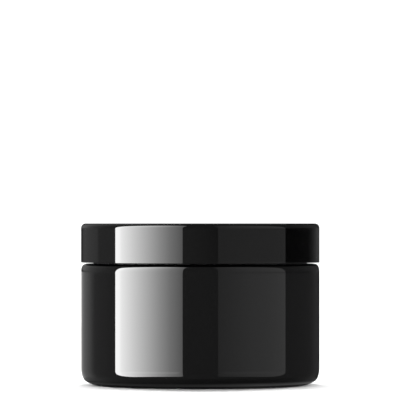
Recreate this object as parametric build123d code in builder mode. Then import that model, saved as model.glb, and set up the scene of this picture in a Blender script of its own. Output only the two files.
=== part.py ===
from build123d import *
import os
from math import cos, radians, sin

# Double-wall cosmetic cream jar with a screw lid. Millimetres, +Z up.
# The origin is the centre of the footprint, on the surface the jar stands on.
# Six pieces: the outer jar, the inner cup with its threaded neck, the loose
# sealing disc, the lid's outer shell, its threaded insert and its foam liner.

# ---- the jar as a whole
body_r = 46.0  # outer radius of both the jar and the lid
total_height = 62.3
lid_height = 15.05
shoulder_gap = 0.45  # between the jar's shoulder and the lid's lower edge
neck_height = 11.0  # the neck above the shoulder
slip_gap = 0.3  # between walls that slide past each other
snug_gap = 0.1  # between pieces that are pushed together for good

lid_z = total_height - lid_height
shoulder_z = lid_z - shoulder_gap
rim_z = shoulder_z + neck_height

# ---- outer jar
foot_inner_r = 34.0
foot_recess = 0.8  # the underside is raised inside the foot ring
heel_foot_r = 9.0  # the heel leaves the foot in a soft arc, ...
heel_foot_turn = 34
heel_tight_r = 3.2  # ... turns up in a tight one ...
heel_wall_r = 10.0  # ... and runs softly into the wall
heel_wall_turn = 20
shoulder_soft_r = 5.5  # the shoulder leaves the wall in a soft arc ...
shoulder_soft_turn = 18
shoulder_tight_r = 2.0  # ... and turns over in a tight one
cavity_r = 42.1  # inside of the wall, at the top
cavity_floor_r = 41.2
cavity_floor_z = 3.6
cavity_corner_r = 4.0
snap_depth = 0.4  # groove in the wall, and the bead that snaps into it
gate_r = 2.2  # sunken moulding gate in the middle of the base
gate_depth = 0.4
lug_count = 4  # lugs under the flange that stop the cup from turning
lug_width = 3.0
lug_height = 0.8

# ---- inner cup
flange_r = 42.9
flange_thick = 2.0
band_r = cavity_r - snug_gap  # locating band below the flange
band_depth = 3.5
cup_wall = 2.0
cup_top_r = 40.6  # outside of the cup below the band
cup_bottom_r = 37.9
cup_bottom_z = 6.4
chamber_corner_r = 12.0
neck_r = 41.2
bore_r = 39.3  # inside of the neck, above the ledge
ledge_r = 38.4
ledge_depth = 3.2  # the sealing disc's ledge below the rim
rim_round = 0.4

flange_z = shoulder_z - flange_thick
snap_z = flange_z - 2.2
ledge_z = rim_z - ledge_depth

# ---- thread: two right-hand ridges on the neck, two inside the lid insert
lead = 8.0  # rise in one turn
starts = 2
ridge_root = 2.2  # axial width of a ridge at its wall
ridge_tip = 1.0
ridge_bury = 0.35  # the ridge's root inside its wall
neck_crest_r = 42.4
neck_ridge_z = shoulder_z + 3.1
neck_ridge_turns = 0.61
insert_root_r = 42.65
insert_crest_r = 41.5
insert_ridge_z = lid_z + 1.95
insert_ridge_turns = 0.6
insert_ridge_drop = 1.65  # the insert's ridges lie this far below the neck's
insert_fade = 15  # degrees over which an insert ridge dies away

# ---- lid shell
shell_wall = 1.6
shell_panel = 1.5
shell_top_round = 1.8
shell_inner_round = 1.0
edge_break = 0.1
key_count = 12  # keys inside the shell, each held between two ribs
key_width = 2.0
key_depth = 0.35

shell_inner_r = body_r - shell_wall
panel_z = total_height - shell_panel

# ---- lid insert and liner
liner_r = 42.0
liner_thick = 1.5
skirt_r = 43.9
skirt_z = lid_z + 0.6
skirt_lead_in = 0.4
insert_chamfer = 0.8
rib_width = 1.2
rib_depth = 0.4
rib_offset = 2.2  # degrees between a key and the rib beside it
rib_top_z = 59.0

# ---- sealing disc
disc_r = bore_r - slip_gap
disc_web = 0.8
disc_rim = 1.2
disc_height = 2.6
tab_length = 20.0
tab_width = 11.0
tab_thick = 0.9
tab_gap = 0.6  # between the disc and the tab lying over it
tab_post = 2.0
grip_count = 3
grip_pitch = 2.5


# ==== outer jar ====
heel_foot_reach = (heel_foot_r - heel_tight_r) * sin(radians(heel_foot_turn))
heel_wall_reach = (heel_wall_r - heel_tight_r) * cos(radians(heel_wall_turn))
foot_outer_r = body_r - heel_wall_r + heel_wall_reach - heel_foot_reach
shoulder_soft_rise = (shoulder_soft_r - shoulder_tight_r) * sin(radians(shoulder_soft_turn))
wall_top_z = shoulder_z - shoulder_tight_r - shoulder_soft_rise
pocket_r = flange_r + snug_gap
groove_r = cavity_r + snap_depth

with BuildPart() as outer_jar:
    with BuildSketch(Plane.XZ):
        with BuildLine():
            foot = Polyline(
                (0, foot_recess),
                (foot_inner_r - foot_recess, foot_recess),
                (foot_inner_r, 0),
                (foot_outer_r, 0),
            )
            heel_foot = JernArc(foot @ 1, (1, 0), heel_foot_r, heel_foot_turn)
            heel_tight_turn = 90 - heel_foot_turn - heel_wall_turn
            heel_tight = JernArc(heel_foot @ 1, heel_foot % 1, heel_tight_r, heel_tight_turn)
            heel_wall = JernArc(heel_tight @ 1, heel_tight % 1, heel_wall_r, heel_wall_turn)
            wall = Line(heel_wall @ 1, (body_r, wall_top_z))
            shoulder_soft = JernArc(wall @ 1, (0, 1), shoulder_soft_r, shoulder_soft_turn)
            shoulder = JernArc(
                shoulder_soft @ 1, shoulder_soft % 1, shoulder_tight_r, 90 - shoulder_soft_turn
            )
            pocket = Polyline(
                shoulder @ 1,
                (pocket_r, shoulder_z),
                (pocket_r, flange_z),
                (cavity_r, flange_z),
                (cavity_r, snap_z + 2 * snap_depth),
                (groove_r, snap_z + snap_depth),
                (groove_r, snap_z - snap_depth),
                (cavity_r, snap_z - 2 * snap_depth),
            )
            cavity = FilletPolyline(
                pocket @ 1,
                (cavity_floor_r, cavity_floor_z),
                (0, cavity_floor_z),
                radius=cavity_corner_r,
            )
            Line(cavity @ 1, foot @ 0)
        make_face()
    revolve(axis=Axis.Z)
    # Lugs on the flange's seat.
    with BuildSketch(Plane.XY.offset(flange_z)):
        with PolarLocations(cavity_r, lug_count):
            Rectangle(2 * (pocket_r - cavity_r) + snug_gap, lug_width)
        Circle(cavity_r, mode=Mode.SUBTRACT)
    extrude(amount=lug_height)
    # Sunken gate mark in the middle of the underside.
    with BuildSketch(Plane.XY.offset(foot_recess)):
        Circle(gate_r)
    extrude(amount=gate_depth, mode=Mode.SUBTRACT)


# ==== inner cup ====
# One ridge of the neck thread. A flat across each end makes it die away.
with BuildPart() as neck_ridge:
    with BuildLine() as neck_helix:
        Helix(lead, lead * neck_ridge_turns, neck_r, center=(0, 0, neck_ridge_z))
    with BuildSketch(Plane.XZ):
        with Locations((neck_r, neck_ridge_z)):
            Polygon(
                (-ridge_bury, -ridge_root / 2),
                (0, -ridge_root / 2),
                (neck_crest_r - neck_r, -ridge_tip / 2),
                (neck_crest_r - neck_r, ridge_tip / 2),
                (0, ridge_root / 2),
                (-ridge_bury, ridge_root / 2),
                align=None,
            )
    sweep(path=neck_helix.line, is_frenet=True)
    for end_angle in (0, 360 * neck_ridge_turns):
        outward = Vector(1, 0, 0).rotate(Axis.Z, end_angle)
        split(bisect_by=Plane(outward * neck_r, z_dir=outward), keep=Keep.BOTTOM)

with BuildPart() as inner_cup:
    with BuildSketch(Plane.XZ):
        with BuildLine():
            cup_side = FilletPolyline(
                (0, cup_bottom_z),
                (cup_bottom_r, cup_bottom_z),
                (cup_top_r, flange_z - band_depth - (band_r - cup_top_r)),
                radius=chamber_corner_r + cup_wall,
            )
            collar = Polyline(
                cup_side @ 1,
                (band_r, flange_z - band_depth),
                (band_r, snap_z - snap_depth),
                (band_r + snap_depth, snap_z),
                (band_r, snap_z + snap_depth),
                (band_r, flange_z),
                (flange_r, flange_z),
                (flange_r, shoulder_z),
                (neck_r, shoulder_z),
            )
            rim = FilletPolyline(
                collar @ 1,
                (neck_r, rim_z),
                (bore_r, rim_z),
                (bore_r, ledge_z),
                radius=rim_round,
            )
            ledge = Line(rim @ 1, (ledge_r, ledge_z))
            chamber = FilletPolyline(
                ledge @ 1,
                (cup_bottom_r - cup_wall, cup_bottom_z + cup_wall),
                (0, cup_bottom_z + cup_wall),
                radius=chamber_corner_r,
            )
            Line(chamber @ 1, cup_side @ 0)
        make_face()
    revolve(axis=Axis.Z)
    # Notches under the flange that drop over the outer jar's lugs.
    with BuildSketch(Plane.XY.offset(flange_z)):
        with PolarLocations(band_r, lug_count):
            Rectangle(2 * (pocket_r - band_r), lug_width + slip_gap)
        Circle(band_r, mode=Mode.SUBTRACT)
    extrude(amount=lug_height + snug_gap, mode=Mode.SUBTRACT)
    with PolarLocations(0, starts):
        add(neck_ridge.part)


# ==== sealing disc ====
tab_z = ledge_z + disc_web + tab_gap

with BuildPart() as sealing_disc:
    with BuildSketch(Plane.XY.offset(ledge_z)):
        Circle(disc_r)
    extrude(amount=disc_height)
    with BuildSketch(Plane.XY.offset(ledge_z + disc_web)):
        Circle(disc_r - disc_rim)
    extrude(amount=disc_height - disc_web, mode=Mode.SUBTRACT)
    rim_edges = sealing_disc.edges().filter_by(GeomType.CIRCLE).group_by(Axis.Z)[-1]
    fillet(rim_edges, radius=disc_rim / 4)
    # Pull tab lying flat over the disc, joined to it by a post at one end.
    with BuildSketch(Plane.XY.offset(tab_z)):
        SlotOverall(tab_length, tab_width)
    extrude(amount=tab_thick)
    with BuildSketch(Plane.XY.offset(ledge_z + disc_web)):
        with Locations((tab_post - tab_length / 2, 0)):
            Rectangle(tab_post, tab_width / 2)
    extrude(amount=tab_gap)
    # Raised grip lines across the tab's free end.
    with BuildSketch(Plane.XY.offset(tab_z + tab_thick)):
        with Locations((tab_length / 5, 0)):
            with GridLocations(grip_pitch, 1, grip_count, 1):
                SlotOverall(tab_width / 2, grip_pitch / 3, rotation=90)
    extrude(amount=disc_height - disc_web - tab_gap - tab_thick)


# ==== lid shell ====
with BuildPart() as lid_shell:
    with BuildSketch(Plane.XZ):
        with BuildLine():
            lower_edge = Polyline(
                (shell_inner_r + edge_break, lid_z),
                (body_r - edge_break, lid_z),
                (body_r, lid_z + edge_break),
            )
            shell_side = FilletPolyline(
                lower_edge @ 1,
                (body_r, total_height),
                (0, total_height),
                radius=shell_top_round,
            )
            shell_inside = FilletPolyline(
                (0, panel_z),
                (shell_inner_r, panel_z),
                (shell_inner_r, skirt_z),
                radius=shell_inner_round,
            )
            Line(shell_side @ 1, shell_inside @ 0)
            # Bead under the insert, which keeps it from dropping out.
            Polyline(
                shell_inside @ 1,
                (shell_inner_r - key_depth, skirt_z - edge_break),
                (shell_inner_r - key_depth, skirt_z - 2 * edge_break),
                lower_edge @ 0,
            )
        make_face()
    revolve(axis=Axis.Z)
    with BuildSketch(Plane.XY.offset(skirt_z + key_width)):
        with PolarLocations(shell_inner_r, key_count):
            Rectangle(2 * key_depth, key_width)
    extrude(amount=rib_top_z - skirt_z - key_width)


# ==== lid insert ====
# One ridge of the insert's thread, rising to the left of the neck's. A round
# cut across each end makes it die away into the skirt.
fade_pull = 2 * (insert_root_r - insert_crest_r) / radians(insert_fade) ** 2
fade_centre_r = fade_pull * insert_root_r / (fade_pull + insert_root_r)
insert_ridge_climb = insert_ridge_z - neck_ridge_z + insert_ridge_drop
insert_ridge_angle = 360 * insert_ridge_climb / lead

with BuildPart() as insert_ridge:
    with BuildLine() as insert_helix:
        Helix(lead, lead * insert_ridge_turns, insert_root_r, center=(0, 0, insert_ridge_z))
    with BuildSketch(Plane.XZ):
        with Locations((insert_root_r, insert_ridge_z)):
            Polygon(
                (ridge_bury, -ridge_root / 2),
                (ridge_bury, ridge_root / 2),
                (0, ridge_root / 2),
                (insert_crest_r - insert_root_r, ridge_tip / 2),
                (insert_crest_r - insert_root_r, -ridge_tip / 2),
                (0, -ridge_root / 2),
                align=None,
            )
    sweep(path=insert_helix.line, is_frenet=True)
    with BuildSketch(Plane.XY.offset(lid_z)):
        for end_angle in (0, 360 * insert_ridge_turns):
            with PolarLocations(fade_centre_r, 1, start_angle=end_angle):
                Circle(insert_root_r - fade_centre_r)
    extrude(amount=lid_height, mode=Mode.SUBTRACT)

with BuildPart() as lid_insert:
    with BuildSketch(Plane.XZ):
        with BuildLine():
            Polyline(
                (0, rim_z + liner_thick),
                (insert_root_r, rim_z + liner_thick),
                (insert_root_r, skirt_z + skirt_lead_in),
                (insert_root_r + skirt_lead_in, skirt_z),
                (skirt_r, skirt_z),
                (skirt_r, panel_z - insert_chamfer),
                (skirt_r - insert_chamfer, panel_z),
                (0, panel_z),
                close=True,
            )
        make_face()
    revolve(axis=Axis.Z)
    # Axial ribs in pairs, one pair astride each of the shell's keys.
    with BuildSketch(Plane.XY.offset(skirt_z)):
        for side in (-1, 1):
            with PolarLocations(skirt_r, key_count, start_angle=side * rib_offset):
                Rectangle(2 * rib_depth, rib_width)
    extrude(amount=rib_top_z - skirt_z)
    with PolarLocations(0, starts, start_angle=insert_ridge_angle):
        add(insert_ridge.part)


# ==== lid liner ====
with BuildPart() as lid_liner:
    with BuildSketch(Plane.XY.offset(rim_z)):
        Circle(liner_r)
    extrude(amount=liner_thick)
    fillet(lid_liner.edges(), radius=edge_break)


os.makedirs("parts", exist_ok=True)

outer_jar.part.label = "outer_jar"
export_step(outer_jar.part, "parts/outer_jar.step")

inner_cup.part.label = "inner_cup"
export_step(inner_cup.part, "parts/inner_cup.step")

sealing_disc.part.label = "sealing_disc"
export_step(sealing_disc.part, "parts/sealing_disc.step")

lid_shell.part.label = "lid_shell"
export_step(lid_shell.part, "parts/lid_shell.step")

lid_insert.part.label = "lid_insert"
export_step(lid_insert.part, "parts/lid_insert.step")

lid_liner.part.label = "lid_liner"
export_step(lid_liner.part, "parts/lid_liner.step")
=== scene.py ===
import math

import bmesh
import bpy
from mathutils import Matrix, Vector


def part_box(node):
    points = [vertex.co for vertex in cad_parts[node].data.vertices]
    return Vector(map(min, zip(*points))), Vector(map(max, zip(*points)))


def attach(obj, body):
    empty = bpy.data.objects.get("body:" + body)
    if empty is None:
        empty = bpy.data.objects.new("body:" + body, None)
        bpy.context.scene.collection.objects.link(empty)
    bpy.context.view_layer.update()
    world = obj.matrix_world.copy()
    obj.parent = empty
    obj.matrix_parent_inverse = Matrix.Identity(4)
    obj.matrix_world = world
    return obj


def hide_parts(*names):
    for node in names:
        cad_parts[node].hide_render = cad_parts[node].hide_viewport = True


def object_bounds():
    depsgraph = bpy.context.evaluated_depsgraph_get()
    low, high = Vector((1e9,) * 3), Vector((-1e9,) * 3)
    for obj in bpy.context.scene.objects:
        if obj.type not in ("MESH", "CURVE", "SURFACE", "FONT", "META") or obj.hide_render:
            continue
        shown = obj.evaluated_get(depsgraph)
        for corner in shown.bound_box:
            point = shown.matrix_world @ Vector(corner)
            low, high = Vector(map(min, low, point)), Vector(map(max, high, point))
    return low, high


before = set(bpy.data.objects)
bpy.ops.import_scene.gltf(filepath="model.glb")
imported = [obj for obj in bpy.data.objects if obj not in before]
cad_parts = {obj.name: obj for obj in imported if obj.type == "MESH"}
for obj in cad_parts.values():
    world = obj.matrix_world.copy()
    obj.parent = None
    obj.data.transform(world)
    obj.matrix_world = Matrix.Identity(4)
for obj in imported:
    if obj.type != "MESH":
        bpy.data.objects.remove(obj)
cad_low, cad_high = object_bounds()
_, jar_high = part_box("outer_jar")
lid_low, lid_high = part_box("lid_shell")
scene = bpy.context.scene
MM = 0.001

body_r = jar_high.x
shoulder_z = jar_high.z
lid_z = lid_low.z
lid_top_z = lid_high.z


# ---- the two gloss black pieces, turned finely so that their curves reflect cleanly
round_steps = 256
edge_support = 0.2 * MM  # how far the extra points of a straight run stand from its ends
sharp_angle = 30  # degrees between two faces that meet at a crisp edge


class Outline:
    """A turned piece's outline, drawn point by point as (radius, height)."""

    def __init__(self, r, z):
        self.points = [(r, z)]
        self.heading = 0.0

    def line(self, r, z):
        """A straight run. Points near its two ends keep the shading of a flat face flat."""
        r0, z0 = self.points[-1]
        length = math.hypot(r - r0, z - z0)
        self.heading = math.atan2(z - z0, r - r0)
        if length > 4 * edge_support:
            for share in (edge_support / length, 1 - edge_support / length):
                self.points.append((r0 + (r - r0) * share, z0 + (z - z0) * share))
        self.points.append((r, z))
        return self

    def arc(self, radius, turn, steps=16):
        """An arc that carries on from the last run, turning left by that many degrees."""
        side = math.copysign(1, turn)
        r0, z0 = self.points[-1]
        centre_r = r0 - side * radius * math.sin(self.heading)
        centre_z = z0 + side * radius * math.cos(self.heading)
        for i in range(1, steps + 1):
            angle = self.heading + math.radians(turn) * i / steps
            self.points.append((
                centre_r + side * radius * math.sin(angle),
                centre_z - side * radius * math.cos(angle),
            ))
        self.heading += math.radians(turn)
        return self

    def settle(self, r=None, z=None):
        """Puts the last point, a hair off after an arc, at exactly that radius or height."""
        last_r, last_z = self.points[-1]
        self.points[-1] = (last_r if r is None else r, last_z if z is None else z)
        return self


def turned_mesh(outline):
    """The outline spun about the jar's axis. A point on the axis is one vertex."""
    bm = bmesh.new()
    rings = []
    for r, z in outline.points:
        if r == 0:
            rings.append([bm.verts.new((0, 0, z))] * round_steps)
            continue
        ring = []
        for i in range(round_steps):
            angle = 2 * math.pi * i / round_steps
            ring.append(bm.verts.new((r * math.cos(angle), r * math.sin(angle), z)))
        rings.append(ring)
    for low, high in zip(rings, rings[1:]):
        for i in range(round_steps):
            j = (i + 1) % round_steps
            corners = list(dict.fromkeys((low[i], low[j], high[j], high[i])))
            bm.faces.new(corners)
    bmesh.ops.recalc_face_normals(bm, faces=bm.faces)
    return bm


def add_blocks(bm, count, size, radius, z):
    """Small blocks standing on the turned piece, evenly round it at that radius."""
    for i in range(count):
        place = (
            Matrix.Rotation(2 * math.pi / count * i, 4, "Z")
            @ Matrix.Translation((radius, 0, z + size[2] / 2))
            @ Matrix.Diagonal((*size, 1))
        )
        bmesh.ops.create_cube(bm, size=1, matrix=place)


def finished_piece(name, bm, body, slot, *nodes):
    """The mesh as a piece that rides on a body and stands for those CAD nodes."""
    mesh = bpy.data.meshes.new(name)
    bm.to_mesh(mesh)
    bm.free()
    mesh.shade_smooth()
    mesh.set_sharp_from_angle(angle=math.radians(sharp_angle))
    piece = bpy.data.objects.new(name, mesh)
    scene.collection.objects.link(piece)
    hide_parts(*nodes)
    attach(piece, body)
    return piece


# The outer jar's foot, with the gate mark sunk in its recess, and its heel and shoulder.
foot_recess = 0.8 * MM
foot_inner_r = 34.0 * MM
foot_outer_r = body_r - 6.85 * MM
gate_r = 2.2 * MM
gate_depth = 0.4 * MM
heel_arcs = ((9.0 * MM, 34), (3.2 * MM, 36), (10.0 * MM, 20))  # (radius, degrees)
shoulder_arcs = ((5.5 * MM, 18), (2.0 * MM, 72))
shoulder_rise = 3.082 * MM

# Its cavity: the flange's pocket, the snap groove, a wall with some draft, and the floor.
pocket_r = 43.0 * MM
cavity_r = 42.1 * MM
flange_z = shoulder_z - 2.0 * MM
groove_r = 42.5 * MM
groove_z = flange_z - 2.2 * MM
groove_half_mouth = 0.8 * MM
groove_half_floor = 0.4 * MM
cavity_floor_r = 41.2 * MM
cavity_floor_z = 3.6 * MM
cavity_round = 4.0 * MM
cavity_turn = -88.6

# The lugs in the pocket that stop the cup from turning.
lug_count = 4
lug_size = (0.9 * MM, 3.0 * MM, 0.8 * MM)
lug_r = 42.55 * MM

jar_outline = Outline(0, foot_recess + gate_depth)
jar_outline.line(gate_r, foot_recess + gate_depth).line(gate_r, foot_recess)
jar_outline.line(foot_inner_r - foot_recess, foot_recess).line(foot_inner_r, 0)
jar_outline.line(foot_outer_r, 0)
for arc_radius, arc_turn in heel_arcs:
    jar_outline.arc(arc_radius, arc_turn)
jar_outline.settle(r=body_r).line(body_r, shoulder_z - shoulder_rise)
for arc_radius, arc_turn in shoulder_arcs:
    jar_outline.arc(arc_radius, arc_turn)
jar_outline.settle(z=shoulder_z)
jar_outline.line(pocket_r, shoulder_z).line(pocket_r, flange_z).line(cavity_r, flange_z)
jar_outline.line(cavity_r, groove_z + groove_half_mouth).line(groove_r, groove_z + groove_half_floor)
jar_outline.line(groove_r, groove_z - groove_half_floor).line(cavity_r, groove_z - groove_half_mouth)
jar_outline.line(cavity_floor_r, cavity_floor_z + cavity_round).arc(cavity_round, cavity_turn)
jar_outline.line(0, cavity_floor_z)
jar_mesh = turned_mesh(jar_outline)
add_blocks(jar_mesh, lug_count, lug_size, lug_r, flange_z)
jar_wall = finished_piece("jar_wall", jar_mesh, "jar", "black_gloss", "outer_jar")

# The lid's shell, with the bead and keys inside it that hold the insert.
shell_inner_r = body_r - 1.6 * MM
shell_inner_round = 1.0 * MM
panel_z = lid_top_z - 1.5 * MM
skirt_z = lid_z + 0.6 * MM
bead_r = shell_inner_r - 0.35 * MM
edge_break = 0.1 * MM
shell_round = 1.8 * MM
key_count = 12
key_size = (0.5 * MM, 2.0 * MM, 9.1 * MM)
key_r = 44.3 * MM
key_z = skirt_z + 2.0 * MM

lid_outline = Outline(0, panel_z)
lid_outline.line(shell_inner_r - shell_inner_round, panel_z).arc(shell_inner_round, -90, steps=8)
lid_outline.line(shell_inner_r, skirt_z).line(bead_r, skirt_z - edge_break)
lid_outline.line(bead_r, skirt_z - 2 * edge_break).line(shell_inner_r + edge_break, lid_z)
lid_outline.line(body_r - edge_break, lid_z).arc(edge_break, 90, steps=6)
lid_outline.line(body_r, lid_top_z - shell_round).arc(shell_round, 90, steps=24)
lid_outline.settle(z=lid_top_z).line(0, lid_top_z)
lid_mesh = turned_mesh(lid_outline)
add_blocks(lid_mesh, key_count, key_size, key_r, key_z)
lid_cover = finished_piece("lid_cover", lid_mesh, "lid", "black_gloss", "lid_shell")


# ---- node helpers
def new_material(name):
    """A node material with its Principled shader, ready to be wired."""
    material = bpy.data.materials.new(name)
    material.use_nodes = True
    tree = material.node_tree
    return material, tree, tree.nodes["Principled BSDF"]


def set_shader(shader, **values):
    """Sets sockets of the Principled shader; an underscore stands for a space."""
    for key, value in values.items():
        shader.inputs[key.replace("_", " ")].default_value = value


def noise(tree, scale, detail=2.0, roughness=0.5, stretch=None):
    """Noise in the object's own coordinates, scale in features per metre."""
    coordinates = tree.nodes.new("ShaderNodeTexCoord")
    texture = tree.nodes.new("ShaderNodeTexNoise")
    texture.inputs["Scale"].default_value = scale
    texture.inputs["Detail"].default_value = detail
    texture.inputs["Roughness"].default_value = roughness
    source = coordinates.outputs["Object"]
    if stretch:
        mapping = tree.nodes.new("ShaderNodeMapping")
        mapping.inputs["Scale"].default_value = stretch
        tree.links.new(source, mapping.inputs["Vector"])
        source = mapping.outputs["Vector"]
    tree.links.new(source, texture.inputs["Vector"])
    return texture.outputs["Fac"]


def spread(tree, value, low, high, start=0.3, end=0.7):
    """Maps a value that lies between start and end to low ... high."""
    node = tree.nodes.new("ShaderNodeMapRange")
    for key, number in (("From Min", start), ("From Max", end), ("To Min", low), ("To Max", high)):
        node.inputs[key].default_value = number
    tree.links.new(value, node.inputs["Value"])
    return node.outputs["Result"]


def math_node(tree, operation, a, b=0.0):
    """A Math node on two values, each a number or a socket."""
    node = tree.nodes.new("ShaderNodeMath")
    node.operation = operation
    for socket, value in zip(node.inputs, (a, b)):
        if isinstance(value, (int, float)):
            socket.default_value = value
        else:
            tree.links.new(value, socket)
    return node.outputs[0]


def two_tone(tree, factor, first, second):
    """A colour that runs from first to second as factor goes from 0 to 1."""
    ramp = tree.nodes.new("ShaderNodeValToRGB")
    for element, colour in zip(ramp.color_ramp.elements, (first, second)):
        element.color = (*colour, 1)
    tree.links.new(factor, ramp.inputs["Fac"])
    return ramp.outputs["Color"]


def bump(tree, height, distance, under=None):
    """A bump of that depth, on top of another one if under is given."""
    node = tree.nodes.new("ShaderNodeBump")
    node.inputs["Strength"].default_value = 1.0
    node.inputs["Distance"].default_value = distance
    tree.links.new(height, node.inputs["Height"])
    if under:
        tree.links.new(under, node.inputs["Normal"])
    return node.outputs["Normal"]


def place_of(tree):
    """The object's own coordinates as separate X, Y and Z sockets."""
    coordinates = tree.nodes.new("ShaderNodeTexCoord")
    split = tree.nodes.new("ShaderNodeSeparateXYZ")
    tree.links.new(coordinates.outputs["Object"], split.inputs[0])
    return split.outputs


def radius_of(tree):
    """Distance from the jar's axis, in metres."""
    place = place_of(tree)
    x_squared = math_node(tree, "MULTIPLY", place["X"], place["X"])
    y_squared = math_node(tree, "MULTIPLY", place["Y"], place["Y"])
    return math_node(tree, "SQRT", math_node(tree, "ADD", x_squared, y_squared))


def tinted(tone, share, blue_share):
    """A near-black grey at a share of its tone, with its own share for blue."""
    return (tone * share, tone * share, tone * blue_share)


# ---- materials
ripple_height = 0.0006 * MM
grain_height = 0.006 * MM
wave_height = 0.02 * MM
cell_height = 0.02 * MM
pressed_depth = 0.15 * MM
rim_mid_r = 40.25 * MM
rim_half_width = 0.9 * MM
rim_fade = 0.5 * MM


def gloss_black(name, tone):
    """Polished black plastic: a faint moulding ripple, hairlines and handling haze."""
    material, tree, shader = new_material(name)
    set_shader(shader, IOR=1.5, Specular_IOR_Level=0.5)
    clouds = noise(tree, 60, detail=3.0)
    colour = two_tone(tree, clouds, tinted(tone, 0.8, 0.85), tinted(tone, 1.2, 1.3))
    tree.links.new(colour, shader.inputs["Base Color"])
    haze = spread(tree, noise(tree, 35, detail=4.0, roughness=0.6), low=0.012, high=0.03)
    scratches = noise(tree, 1.0, detail=6.0, roughness=0.8, stretch=(300, 300, 9000))
    hairlines = spread(tree, scratches, low=0.0, high=0.03, start=0.62, end=0.8)
    tree.links.new(math_node(tree, "ADD", haze, hairlines), shader.inputs["Roughness"])
    ripple = noise(tree, 110, detail=1.0)
    tree.links.new(bump(tree, ripple, ripple_height), shader.inputs["Normal"])
    return material


def satin_black(name, tone, grain_scale):
    """Satin moulded black plastic with a fine spark-eroded grain."""
    material, tree, shader = new_material(name)
    set_shader(shader, IOR=1.49, Specular_IOR_Level=0.2)
    clouds = noise(tree, 90, detail=4.0)
    colour = two_tone(tree, clouds, tinted(tone, 0.75, 0.78), tinted(tone, 1.3, 1.35))
    tree.links.new(colour, shader.inputs["Base Color"])
    sheen = spread(tree, noise(tree, 140, detail=5.0, roughness=0.6), low=0.42, high=0.56)
    tree.links.new(sheen, shader.inputs["Roughness"])
    grain = bump(tree, noise(tree, grain_scale, detail=3.0, roughness=0.6), grain_height)
    tree.links.new(grain, shader.inputs["Normal"])
    return material


def natural_disc(name):
    """Soft milky polyethylene that lets some light through, with faint flow lines."""
    material, tree, shader = new_material(name)
    set_shader(shader, IOR=1.51, Subsurface_Weight=0.35, Subsurface_Scale=0.002)
    flow = noise(tree, 1.0, detail=4.0, roughness=0.6, stretch=(60, 240, 240))
    milk = two_tone(tree, flow, (0.70, 0.71, 0.70), (0.84, 0.85, 0.84))
    tree.links.new(milk, shader.inputs["Base Color"])
    tree.links.new(spread(tree, flow, low=0.28, high=0.44), shader.inputs["Roughness"])
    waves = bump(tree, noise(tree, 180, detail=3.0), wave_height)
    tree.links.new(waves, shader.inputs["Normal"])
    return material


def foam_liner(name):
    """Closed-cell foam sheet: fine cells, and the ring that the jar's rim has pressed."""
    material, tree, shader = new_material(name)
    set_shader(shader, IOR=1.45)
    coordinates = tree.nodes.new("ShaderNodeTexCoord")
    cells = tree.nodes.new("ShaderNodeTexVoronoi")
    cells.inputs["Scale"].default_value = 1500
    tree.links.new(coordinates.outputs["Object"], cells.inputs["Vector"])
    off_ring = math_node(tree, "ABSOLUTE", math_node(tree, "SUBTRACT", radius_of(tree), rim_mid_r))
    level = spread(tree, off_ring, 0.0, 1.0, start=rim_half_width, end=rim_half_width + rim_fade)
    shade = math_node(
        tree, "ADD",
        math_node(tree, "MULTIPLY", level, 0.7),
        math_node(tree, "MULTIPLY", noise(tree, 300, detail=3.0), 0.3))
    white = two_tone(tree, shade, (0.66, 0.66, 0.64), (0.86, 0.86, 0.85))
    tree.links.new(white, shader.inputs["Base Color"])
    dullness = spread(tree, cells.outputs["Distance"], low=0.55, high=0.8, start=0.0, end=0.7)
    tree.links.new(dullness, shader.inputs["Roughness"])
    pressed = bump(tree, level, pressed_depth)
    skin = bump(tree, cells.outputs["Distance"], cell_height, under=pressed)
    tree.links.new(skin, shader.inputs["Normal"])
    return material


def assign(node, material):
    """Gives every slot of a CAD node the material."""
    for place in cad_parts[node].material_slots:
        place.material = material


jar_wall.data.materials.append(gloss_black("gloss_black_jar", tone=0.0015))
lid_cover.data.materials.append(gloss_black("gloss_black_lid", tone=0.0008))
assign("inner_cup", satin_black("satin_black_cup", tone=0.055, grain_scale=2600))
assign("lid_insert", satin_black("satin_black_insert", tone=0.018, grain_scale=2200))
assign("sealing_disc", natural_disc("natural_polyethylene"))
assign("lid_liner", foam_liner("foam_sheet"))


# ---- studio: soft boxes and a dim wall that are seen only in the gloss
card_steps = 96
card_distance = 1.2
wall_distance = 1.25
all_round = (-180.0, 180.0)
# The heights, in metres, between which a card fades into its lid band and its upper band.
lid_band = (0.0300, 0.0345)
upper_band = (0.072, 0.090)


def glow_material(name, build, clear=False):
    """A material that only glows. build(tree) gives its strength, a number or a socket. A
    clear one adds its light to what lies behind it."""
    material = bpy.data.materials.new(name)
    material.use_nodes = True
    material.cycles.emission_sampling = "NONE"
    tree = material.node_tree
    tree.nodes.clear()
    out = tree.nodes.new("ShaderNodeOutputMaterial")
    glow = tree.nodes.new("ShaderNodeEmission")
    shader = glow.outputs[0]
    if clear:
        both = tree.nodes.new("ShaderNodeAddShader")
        tree.links.new(shader, both.inputs[0])
        tree.links.new(tree.nodes.new("ShaderNodeBsdfTransparent").outputs[0], both.inputs[1])
        shader = both.outputs[0]
    tree.links.new(shader, out.inputs["Surface"])
    strength = build(tree)
    if isinstance(strength, (int, float)):
        glow.inputs["Strength"].default_value = strength
    else:
        tree.links.new(strength, glow.inputs["Strength"])
    return material


def ramp_of(tree, value, points):
    """Strength by value: (value from 0 to 1, strength) points."""
    top = max(strength for _, strength in points)
    ramp = tree.nodes.new("ShaderNodeValToRGB")
    elements = ramp.color_ramp.elements
    while len(elements) < len(points):
        elements.new(0.5)
    for element, (place, strength) in zip(elements, points):
        element.position = place
        element.color = (strength / top, strength / top, strength / top, 1)
    tree.links.new(value, ramp.inputs["Fac"])
    return math_node(tree, "MULTIPLY", ramp.outputs["Color"], top)


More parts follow.
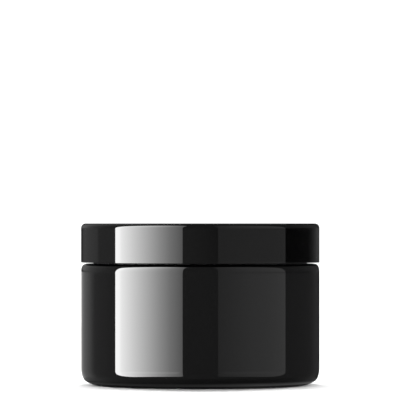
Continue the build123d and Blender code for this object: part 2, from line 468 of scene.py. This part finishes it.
def along_card(points, lid_points=None, upper_points=None):
    """Strength along a card's width. lid_points hold at the height that the lid's wall
    reflects, so that the lid and the jar can be lit apart, as by strips hung at that
    height, and upper_points hold above it."""
    def build(tree):
        uv = tree.nodes.new("ShaderNodeUVMap")
        uv.uv_map = "along"
        split = tree.nodes.new("ShaderNodeSeparateXYZ")
        tree.links.new(uv.outputs[0], split.inputs[0])
        height = place_of(tree)["Z"]
        strength = ramp_of(tree, split.outputs["X"], points)
        for layer, (start, end) in ((lid_points, lid_band), (upper_points, upper_band)):
            if not layer:
                continue
            mix = tree.nodes.new("ShaderNodeMix")
            tree.links.new(spread(tree, height, 0.0, 1.0, start, end), mix.inputs["Factor"])
            tree.links.new(strength, mix.inputs["A"])
            tree.links.new(ramp_of(tree, split.outputs["X"], layer), mix.inputs["B"])
            strength = mix.outputs["Result"]
        return strength
    return build


def by_azimuth(*points):
    """(azimuth, strength) points for a card that goes all the way round."""
    return [((azimuth + 180) / 360, strength) for azimuth, strength in points]


def reflections_only(obj):
    """The object shows in glossy reflections and nowhere else."""
    obj.visible_camera = False
    obj.visible_diffuse = False
    obj.visible_transmission = False
    obj.visible_volume_scatter = False
    obj.visible_shadow = False


def corner_inset(side, corner):
    """How far a rounded corner cuts in, at that distance from the card's side."""
    across, up = corner
    if side >= across:
        return 0.0
    return up * (1 - math.sqrt(max(0.0, 1 - (1 - side / across) ** 2)))


def studio_card(name, azimuths, elevations, strength, distance=card_distance, corners=None):
    """A card curved round the jar, in degrees seen from the jar: azimuth 0 is the camera's
    side and + is towards +X. corners are its rounded corners as (across, up), the outer
    and inner one at the top and then at the bottom; the outer side faces sideways."""
    left, right = azimuths
    low, high = elevations
    verts, faces, uvs = [], [], []
    for i in range(card_steps + 1):
        # Columns are closer together near the sides, where the corners are.
        u = 0.5 - 0.5 * math.cos(math.pi * i / card_steps)
        azimuth = left + (right - left) * u
        bottom, top = low, high
        if corners:
            outer_side, inner_side = azimuth - left, right - azimuth
            if left > 0:
                outer_side, inner_side = inner_side, outer_side
            top -= corner_inset(outer_side, corners[0]) + corner_inset(inner_side, corners[1])
            bottom += corner_inset(outer_side, corners[2]) + corner_inset(inner_side, corners[3])
        angle = math.radians(azimuth)
        for v, elevation in enumerate((bottom, top)):
            z = distance * math.tan(math.radians(elevation))
            verts.append((distance * math.sin(angle), -distance * math.cos(angle), z))
            uvs.append((u, v))
    for i in range(card_steps):
        faces.append((2 * i, 2 * i + 2, 2 * i + 3, 2 * i + 1))
    mesh = bpy.data.meshes.new(name)
    mesh.from_pydata(verts, [], faces)
    layer = mesh.uv_layers.new(name="along")
    for loop in mesh.loops:
        layer.data[loop.index].uv = uvs[loop.vertex_index]
    mesh.materials.append(glow_material(name, strength))
    card = bpy.data.objects.new(name, mesh)
    scene.collection.objects.link(card)
    reflections_only(card)


# The bright soft box at the left and the dim one at the right have the same rounded corners.
left_azimuths = (-88.15, -16.5)
right_azimuths = (16.7, 88.5)
softbox_elevations = (-20.5, 61.5)
softbox_corners = ((50.0, 40.0), (15.0, 9.0), (23.0, 12.0), (4.0, 3.0))
left_glow = [
    (0.0, 18.4), (0.07, 19.0), (0.11, 17.0), (0.245, 14.8), (0.40, 11.8),
    (0.55, 8.8), (0.69, 6.1), (0.83, 3.9), (1.0, 2.1)]
right_glow = [(0.0, 0.41), (0.45, 0.61), (1.0, 0.70)]
right_lid_glow = [(0.0, 0.37), (0.5, 0.40), (1.0, 0.37)]
studio_card(
    "softbox_left", left_azimuths, softbox_elevations,
    along_card(left_glow), corners=softbox_corners)
studio_card(
    "softbox_right", right_azimuths, softbox_elevations,
    along_card(right_glow, right_lid_glow, right_glow), corners=softbox_corners)

# A dim one high behind the jar, for the lid's top and its rounded edge to reflect.
rear_azimuths = (150.0, 215.0)
rear_elevations = (38.0, 60.0)
rear_corners = [(12.0, 8.0)] * 4
rear_glow = [(0.0, 0.4), (0.5, 0.6), (1.0, 0.4)]
studio_card(
    "softbox_rear", rear_azimuths, rear_elevations, along_card(rear_glow), corners=rear_corners)

# The wall all the way round, which fills the dark between the soft boxes.
wall_elevations = (-60.0, 66.0)
wall_glow = by_azimuth(
    (-180, 1.0), (-164, 0.62), (-157, 0.38), (-133, 0.35), (-121, 0.19), (-90, 0.25),
    (0, 0.21), (90, 0.16), (130, 0.08), (150, 0.08), (166, 0.0))
wall_lid_glow = by_azimuth(
    (-180, 0.0), (-164, 0.0), (-155, 0.11), (-146, 0.18), (-117, 0.33), (-113, 0.22), (-90, 0.33),
    (-10, 0.26), (12, 0.18), (89, 0.02), (126, 0.02), (151, 0.12), (175, 0.05))
wall_upper_glow = by_azimuth(
    (-180, 0.04), (-170, 0.05), (-163, 0.20), (-150, 0.32), (-90, 0.24), (0, 0.20), (90, 0.14),
    (150, 0.08), (165, 0.02), (180, 0.01))
studio_card(
    "studio_wall", all_round, wall_elevations,
    along_card(wall_glow, wall_lid_glow, wall_upper_glow), distance=wall_distance)

# The rest of the studio, above and below the wall, is an even faint glow.
surround_radius = 3.0
surround_glow = 0.13
surround_mesh = bpy.data.meshes.new("studio_surround")
bm = bmesh.new()
bmesh.ops.create_uvsphere(bm, u_segments=48, v_segments=24, radius=surround_radius)
bm.to_mesh(surround_mesh)
bm.free()
surround_mesh.materials.append(glow_material("studio_surround", lambda tree: surround_glow))
surround = bpy.data.objects.new("studio_surround", surround_mesh)
scene.collection.objects.link(surround)
reflections_only(surround)


# What the gloss sees in place of the floor, painted as glowing rings: a painted shadow of the jar
# with a thin painted lit rim, and a painted pool of light in front of each soft box, which shows in
# the walls from above.
glow_z = cad_low.z - 0.05 * MM
rim_light_r = 0.0455
near_floor_r = 0.052
pool_radii = (0.07, 0.22)
left_pool_azimuths = (-62.0, -16.4)
right_pool_azimuths = (16.7, 62.0)


def painted_floor_reflection(name, radii, azimuths, points, across=None):
    """A flat glowing ring or part of one on the floor, seen only in the gloss: painted light and
    shade standing in for the floor's reflection. points are (radius, strength). across are (place,
    share) points from the left side to the right; a glow without them is clear."""
    inner, outer = radii
    start, end = azimuths
    verts, faces = [], []
    for i in range(card_steps + 1):
        angle = math.radians(start + (end - start) * i / card_steps)
        for radius in (inner, outer):
            verts.append((radius * math.sin(angle), -radius * math.cos(angle), 0))
    for i in range(card_steps):
        faces.append((2 * i, 2 * i + 1, 2 * i + 3, 2 * i + 2))
    mesh = bpy.data.meshes.new(name)
    mesh.from_pydata(verts, [], faces)
    shares = [(radius / outer, strength) for radius, strength in points]

    def build(tree):
        strength = ramp_of(tree, math_node(tree, "DIVIDE", radius_of(tree), outer), shares)
        if not across:
            return strength
        sideways = spread(tree, place_of(tree)["X"], 0.0, 1.0, start=-body_r, end=body_r)
        return math_node(tree, "MULTIPLY", strength, ramp_of(tree, sideways, across))

    mesh.materials.append(glow_material(name, build, clear=not across))
    glow = bpy.data.objects.new(name, mesh)
    glow.location.z = glow_z
    scene.collection.objects.link(glow)
    reflections_only(glow)


def pool_points(strength):
    """A painted pool of light on the floor that fades at its near and far sides."""
    near, far = pool_radii
    return [(near, 0.0), (0.10, strength), (0.17, strength), (far, 0.0)]


# Painted shadow under the jar with a thin painted lit rim, faint painted light round the jar, and a
# painted pool of light in front of each soft box.
painted_floor_reflection(
    "painted_shadow_under_jar", (0.0, rim_light_r), all_round,
    [(0.0, 0.02), (0.0420, 0.02), (0.0428, 0.20), (0.0440, 0.20), (rim_light_r, 0.10)],
    [(0.0, 0.4), (0.17, 0.6), (0.35, 0.9), (0.5, 1.0), (0.74, 1.6), (0.86, 1.1), (1.0, 0.7)])
painted_floor_reflection(
    "painted_light_round_jar", (rim_light_r, near_floor_r), all_round,
    [(rim_light_r, 0.10), (near_floor_r, 0.15)],
    [(0.0, 1.8), (0.3, 1.4), (0.5, 1.0), (1.0, 0.8)])
painted_floor_reflection("painted_pool_left", pool_radii, left_pool_azimuths, pool_points(1.2))
painted_floor_reflection("painted_pool_right", pool_radii, right_pool_azimuths, pool_points(0.12))

# An even white surround lights everything softly, more from the backdrop and most from
# the two sides, and the camera sees it as plain white.
even_light = 0.45
backdrop_light = 0.5
side_light = 4.0
side_narrowness = 8.0
seen_white = 1.3
world = bpy.data.worlds.new("studio")
scene.world = world
world.use_nodes = True
sky = world.node_tree
background = sky.nodes["Background"]
background.inputs["Color"].default_value = (1, 1, 1, 1)
direction = sky.nodes.new("ShaderNodeTexCoord")
sky_split = sky.nodes.new("ShaderNodeSeparateXYZ")
sky.links.new(direction.outputs["Generated"], sky_split.inputs[0])
sky_back = math_node(sky, "MULTIPLY", sky_split.outputs["Y"], backdrop_light)
sideways = math_node(sky, "ABSOLUTE", sky_split.outputs["X"])
sky_sides = math_node(sky, "MULTIPLY", math_node(sky, "POWER", sideways, side_narrowness), side_light)
sky_light = math_node(sky, "ADD", math_node(sky, "ADD", sky_back, sky_sides), even_light)
seen = sky.nodes.new("ShaderNodeLightPath")
sky_mix = sky.nodes.new("ShaderNodeMix")
sky_mix.inputs["B"].default_value = seen_white
sky.links.new(seen.outputs["Is Camera Ray"], sky_mix.inputs["Factor"])
sky.links.new(sky_light, sky_mix.inputs["A"])
sky.links.new(sky_mix.outputs["Result"], background.inputs["Strength"])
world.cycles_visibility.glossy = False


def soft_light(name, azimuth, elevation, energy, spread_angle):
    """A large far light, in degrees seen from the jar. It lights matt surfaces only."""
    around, up = math.radians(azimuth), math.radians(elevation)
    toward = Vector((math.sin(around) * math.cos(up), -math.cos(around) * math.cos(up), math.sin(up)))
    data = bpy.data.lights.new(name, "SUN")
    data.energy = energy
    data.angle = math.radians(spread_angle)
    light = bpy.data.objects.new(name, data)
    light.rotation_euler = toward.to_track_quat("Z", "Y").to_euler()
    light.visible_glossy = False
    scene.collection.objects.link(light)


# The one high behind the jar draws its short shadow on the floor in front of it, and the
# two low ones behind its sides light the floor beside it.
soft_light("back_light", azimuth=180, elevation=70, energy=1.8, spread_angle=16)
soft_light("side_light_left", azimuth=-140, elevation=15, energy=4.2, spread_angle=25)
soft_light("side_light_right", azimuth=140, elevation=15, energy=4.2, spread_angle=25)

# A plain sheet of pale paper that the jar stands on.
floor_half = 4
floor_z = cad_low.z - 0.02 * MM
paper_grain = 0.01 * MM
floor_corners = [
    (-floor_half, -floor_half, 0), (floor_half, -floor_half, 0),
    (floor_half, floor_half, 0), (-floor_half, floor_half, 0)]
floor_mesh = bpy.data.meshes.new("floor")
floor_mesh.from_pydata(floor_corners, [], [(0, 1, 2, 3)])
floor = bpy.data.objects.new("floor", floor_mesh)
floor.location.z = floor_z
scene.collection.objects.link(floor)
paper, paper_tree, paper_shader = new_material("white_paper")
fibres = noise(paper_tree, 400, detail=4.0, roughness=0.6)
paper_white = two_tone(paper_tree, fibres, (0.89, 0.89, 0.89), (0.91, 0.91, 0.91))
paper_tree.links.new(paper_white, paper_shader.inputs["Base Color"])
paper_tree.links.new(bump(paper_tree, fibres, paper_grain), paper_shader.inputs["Normal"])
set_shader(paper_shader, Roughness=0.9, Specular_IOR_Level=0.1)
floor_mesh.materials.append(paper)
floor.visible_glossy = False

# ---- camera, level with the lid's top edge and far enough for a long lens
camera_distance = 1.6
field_width = 0.15443
sensor_width = 36
camera_x = -0.1 * MM
camera_z = lid_top_z + 0.83 * MM
aim_z = lid_top_z + 9.05 * MM
camera_data = bpy.data.cameras.new("camera")
camera_data.sensor_width = sensor_width
camera_data.lens = sensor_width * camera_distance / field_width
camera_data.clip_end = 20
camera = bpy.data.objects.new("camera", camera_data)
scene.collection.objects.link(camera)
camera.location = (camera_x, -camera_distance, camera_z)
aim = Vector((camera_x, 0, aim_z))
camera.rotation_euler = (aim - camera.location).to_track_quat("-Z", "Y").to_euler()
scene.camera = camera

scene.view_settings.view_transform = "Standard"
